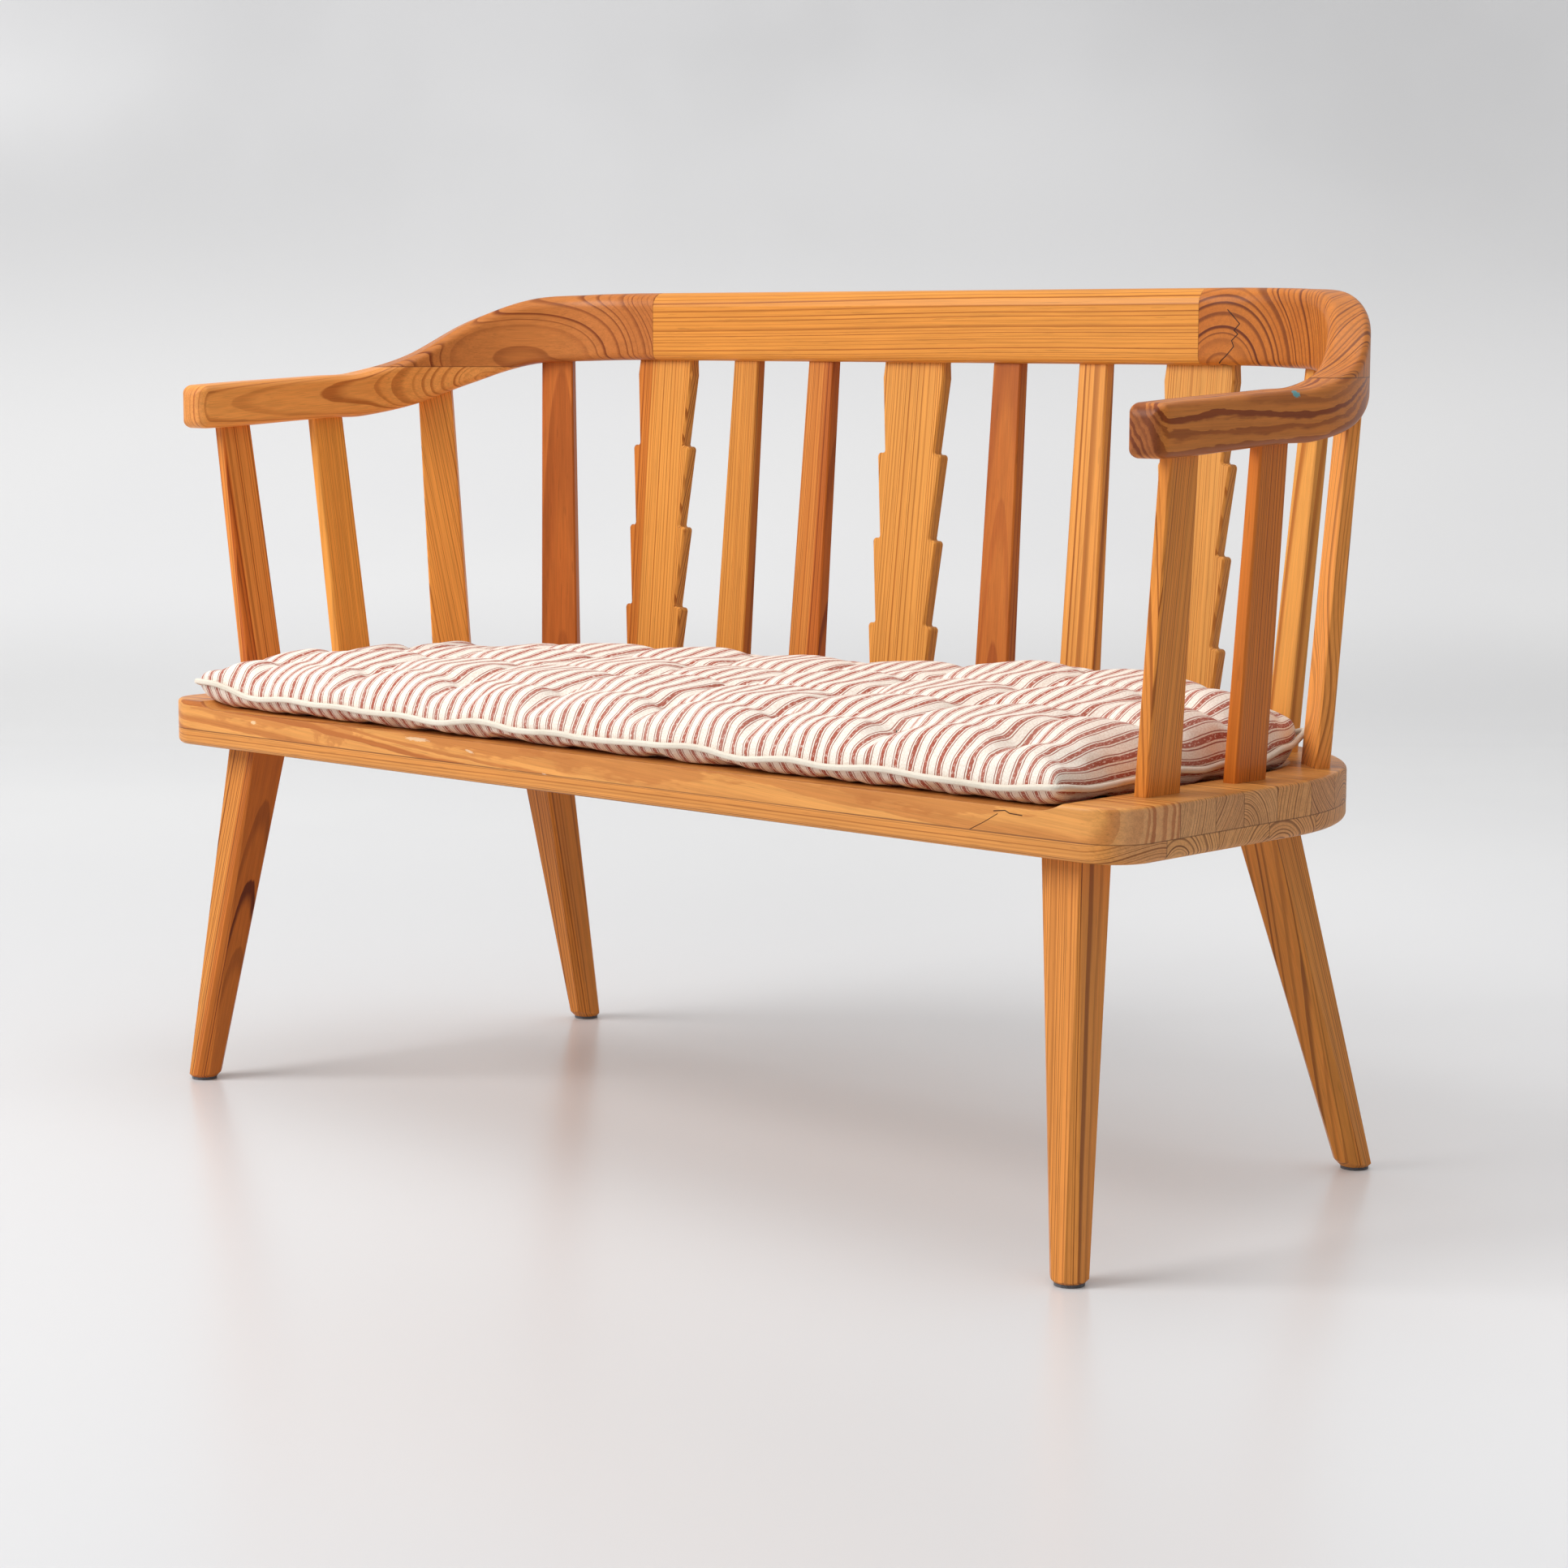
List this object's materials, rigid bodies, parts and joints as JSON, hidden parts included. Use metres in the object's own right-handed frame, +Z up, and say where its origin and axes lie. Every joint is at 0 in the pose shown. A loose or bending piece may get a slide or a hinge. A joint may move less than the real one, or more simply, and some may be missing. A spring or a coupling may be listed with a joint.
{
  "type": "spindle-back settee",
  "caption": "Wooden settee with an open slat back under a curved arm rail, splayed tapered legs and a loose tufted striped seat cushion.",
  "frame": {"origin": "on the floor under the middle of the settee: halfway along its length and halfway between its foremost and rearmost points, at the underside of the felt glides", "axes": "+X along the length, towards the right as seen from the front; +Y from front to back; +Z up"},
  "size_m": [1.28, 0.533, 0.824],
  "materials": {
    "pine_seat_upper": "satin varnish over straight pine grain",
    "pine_seat_lower": "satin varnish over straight pine grain",
    "pine_leg": "satin varnish over straight pine grain",
    "pine_slat": "satin varnish over straight pine grain",
    "pine_splat": "satin varnish over straight pine grain",
    "pine_rail": "satin varnish over straight pine grain",
    "pine_rail_block": "satin varnish over straight pine grain",
    "pine_arm_block": "satin varnish, darkened on the arms",
    "dowel_wood": "bare, glued in",
    "grey_felt": "dense needled felt",
    "ticking_fabric": "woven cotton ticking, cream with red stripes",
    "piping_fabric": "cream cotton over cord"
  },
  "bodies": {
    "frame": {"seat_upper_stave_1": "pine_seat_upper", "seat_upper_stave_2": "pine_seat_upper", "seat_upper_stave_3": "pine_seat_upper", "seat_upper_stave_4": "pine_seat_upper", "seat_upper_stave_5": "pine_seat_upper", "seat_upper_stave_6": "pine_seat_upper", "seat_upper_stave_7": "pine_seat_upper", "seat_upper_stave_8": "pine_seat_upper", "seat_upper_stave_9": "pine_seat_upper", "seat_lower_stave_1": "pine_seat_lower", "seat_lower_stave_2": "pine_seat_lower", "seat_lower_stave_3": "pine_seat_lower", "seat_lower_stave_4": "pine_seat_lower", "seat_lower_stave_5": "pine_seat_lower", "seat_lower_stave_6": "pine_seat_lower", "seat_lower_stave_7": "pine_seat_lower", "leg_front_right": "pine_leg", "leg_front_left": "pine_leg", "leg_back_right": "pine_leg", "leg_back_left": "pine_leg", "felt_glides": "grey_felt", "arm_slat_right_1": "pine_slat", "arm_slat_right_2": "pine_slat", "arm_slat_right_3": "pine_slat", "arm_slat_right_4": "pine_slat", "arm_slat_left_1": "pine_slat", "arm_slat_left_2": "pine_slat", "arm_slat_left_3": "pine_slat", "arm_slat_left_4": "pine_slat", "back_slat_1": "pine_slat", "back_slat_2": "pine_slat", "back_slat_3": "pine_slat", "back_slat_4": "pine_slat", "splat_left": "pine_splat", "splat_centre": "pine_splat", "splat_right": "pine_splat", "rail_centre": "pine_rail", "rail_upper_right": "pine_rail_block", "rail_upper_left": "pine_rail_block", "arm_lower_right": "pine_arm_block", "arm_lower_left": "pine_arm_block", "rail_dowels": "dowel_wood"},
    "cushion": {"seat_cushion": "ticking_fabric", "cushion_piping": "piping_fabric"}
  },
  "joints": [
    {"name": "cushion_lift", "type": "slide", "parent": "frame", "child": "cushion", "axis": [0, 0, 1], "range_m": [0, 0.45]}
  ]
}
